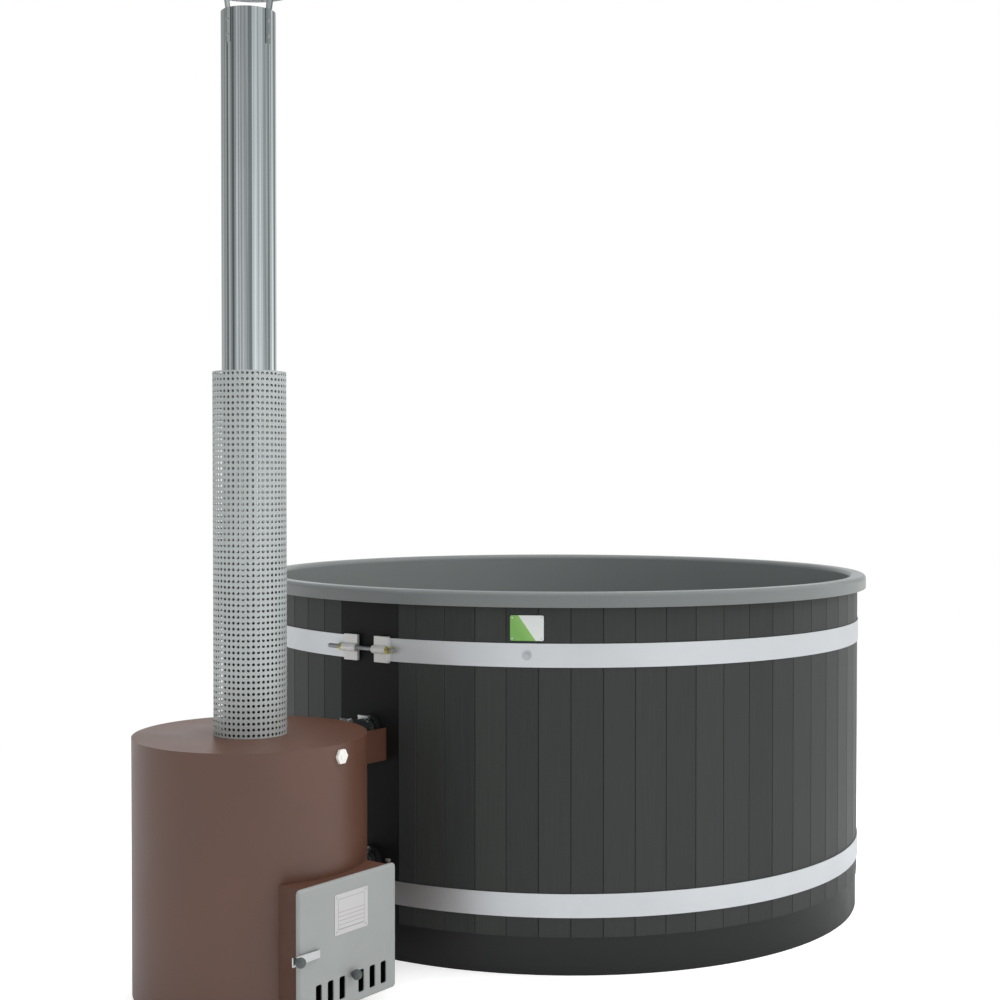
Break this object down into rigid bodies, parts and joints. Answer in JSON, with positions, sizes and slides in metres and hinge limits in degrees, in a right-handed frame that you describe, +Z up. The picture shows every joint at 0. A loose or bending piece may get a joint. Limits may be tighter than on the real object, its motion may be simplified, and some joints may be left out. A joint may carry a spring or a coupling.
{
  "type": "wood-fired hot tub",
  "caption": "Round board-clad hot tub with steel straps, a moulded liner with a bench, and an external wood stove with a guarded flue joined by water hoses.",
  "frame": {"origin": "on the floor, on the tub's vertical axis", "axes": "+Z up, +X from the stove toward the tub, +Y away from the side that the stove's door faces"},
  "size_m": [2.6238, 1.8798, 2.574],
  "materials": {
    "liner_grey": "satin",
    "skirt_black": "matte",
    "raw_timber": "matte",
    "board_graphite": "satin",
    "strap_steel": "satin",
    "rod_steel": "satin",
    "nut_zinc": "satin",
    "badge_face": "satin",
    "rivet_steel": "polished",
    "fitting_black": "matte",
    "outlet_grey": "matte",
    "rubber_black": "matte",
    "clamp_chrome": "polished",
    "stove_brown": "satin",
    "fire_steel": "matte",
    "grate_iron": "matte",
    "plug_white": "satin",
    "flue_steel": "polished",
    "guard_steel": "satin",
    "door_grey": "satin",
    "plate_aluminium": "satin",
    "lever_steel": "satin",
    "knob_grey": "satin"
  },
  "bodies": {
    "tub_and_stove": {"liner_wall_section": "liner_grey", "liner_bench": "liner_grey", "liner_footwell": "liner_grey", "liner_floor": "liner_grey", "base_skirt": "skirt_black", "floor_joists": "raw_timber", "lower_hoop": "raw_timber", "bench_hoop": "raw_timber", "cladding_boards": "board_graphite", "pipe_panel": "board_graphite", "upper_strap": "strap_steel", "lower_strap": "strap_steel", "strap_lugs": "strap_steel", "tension_rods": "rod_steel", "rod_nuts": "nut_zinc", "strap_screw": "strap_steel", "badge_plate": "badge_face", "badge_rivets": "rivet_steel", "drain_fitting": "fitting_black", "drain_locknut": "fitting_black", "drain_pipe": "outlet_grey", "upper_wall_fitting": "fitting_black", "lower_wall_pipe": "fitting_black", "fitting_locknuts": "fitting_black", "strainer_grilles": "fitting_black", "stove_stubs": "stove_brown", "upper_hose": "rubber_black", "lower_hose": "rubber_black", "hose_clamps": "clamp_chrome", "hose_trough": "stove_brown", "stove_jacket": "stove_brown", "stove_feet": "stove_brown", "firebox": "fire_steel", "fire_grate": "grate_iron", "door_frame": "stove_brown", "latch_keeper": "stove_brown", "frame_hinges": "stove_brown", "hinge_rod": "rod_steel", "filler_plug": "plug_white", "flue_pipe": "flue_steel", "flue_guard": "guard_steel", "guard_spacers": "rod_steel", "rain_cap": "flue_steel", "cap_brackets": "flue_steel", "cap_rivets": "rivet_steel"},
    "door": {"door_pan": "door_grey", "door_hinges": "door_grey", "door_baffle": "fire_steel", "baffle_studs": "rod_steel", "damper_guides": "rod_steel", "rating_plate": "plate_aluminium", "plate_rivets": "rivet_steel"},
    "lever": {"latch_lever": "lever_steel", "lever_pivot": "rod_steel", "latch_tongue": "rod_steel", "lever_knob": "knob_grey"},
    "damper": {"damper_slide": "rod_steel", "damper_stem": "rod_steel", "damper_knob": "knob_grey"},
    "plug": {"drain_plug": "rubber_black"}
  },
  "joints": [
    {"name": "door_hinge", "type": "hinge", "parent": "tub_and_stove", "child": "door", "pos_m": [-1.19332, -0.312, 0.201], "axis": [0, 0, 1], "range_deg": [0, 110]},
    {"name": "lever_pivot_joint", "type": "hinge", "parent": "door", "child": "lever", "pos_m": [-1.47032, -0.33, 0.198], "axis": [0, 1, 0], "range_deg": [0, 20]},
    {"name": "air_slide", "type": "slide", "parent": "door", "child": "damper", "axis": [1, 0, 0], "range_m": [0, 0.016]},
    {"name": "plug_lift", "type": "slide", "parent": "tub_and_stove", "child": "plug", "axis": [0, 0, 1], "range_m": [0, 0.1]}
  ]
}
